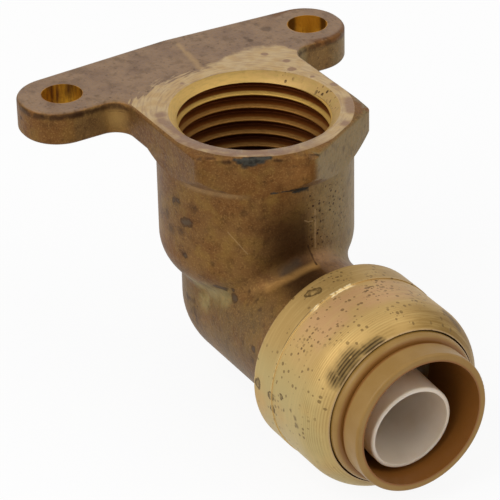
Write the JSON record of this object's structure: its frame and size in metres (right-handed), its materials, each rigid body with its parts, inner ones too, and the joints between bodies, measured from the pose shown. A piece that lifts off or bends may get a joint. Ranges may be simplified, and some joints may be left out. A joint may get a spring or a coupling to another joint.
{
  "type": "wall plate elbow",
  "caption": "Forged brass wall plate elbow with screw ears, a threaded port and a push-fit tube socket with a sliding release collar.",
  "frame": {"origin": "centre of the threaded port's mouth, in the plane of its machined face", "axes": "+Z out of the threaded port, +X out of the tube socket, the screw ears along Y on the -X side"},
  "size_m": [0.0596, 0.0457, 0.0372],
  "materials": {
    "forged_brass": "tarnished",
    "turned_brass": "turned",
    "collar_plastic": "satin",
    "spring_steel": "satin",
    "protector_plastic": "matte",
    "seal_rubber": "matte",
    "liner_plastic": "satin"
  },
  "bodies": {
    "fitting": {"body": "forged_brass", "retaining_cap": "turned_brass", "seal_protector": "protector_plastic", "o_ring": "seal_rubber", "tube_liner": "liner_plastic"},
    "ring": {"grab_ring": "spring_steel"},
    "collar": {"release_collar": "collar_plastic"}
  },
  "joints": [
    {"name": "grab_ring_turn", "type": "hinge", "parent": "fitting", "child": "ring", "pos_m": [0.0257, 0, -0.025], "axis": [1, 0, 0], "continuous": true},
    {"name": "collar_press", "type": "slide", "parent": "ring", "child": "collar", "axis": [-1, 0, 0], "range_m": [0, 0.0021], "deforming": ["grab_ring"]}
  ]
}
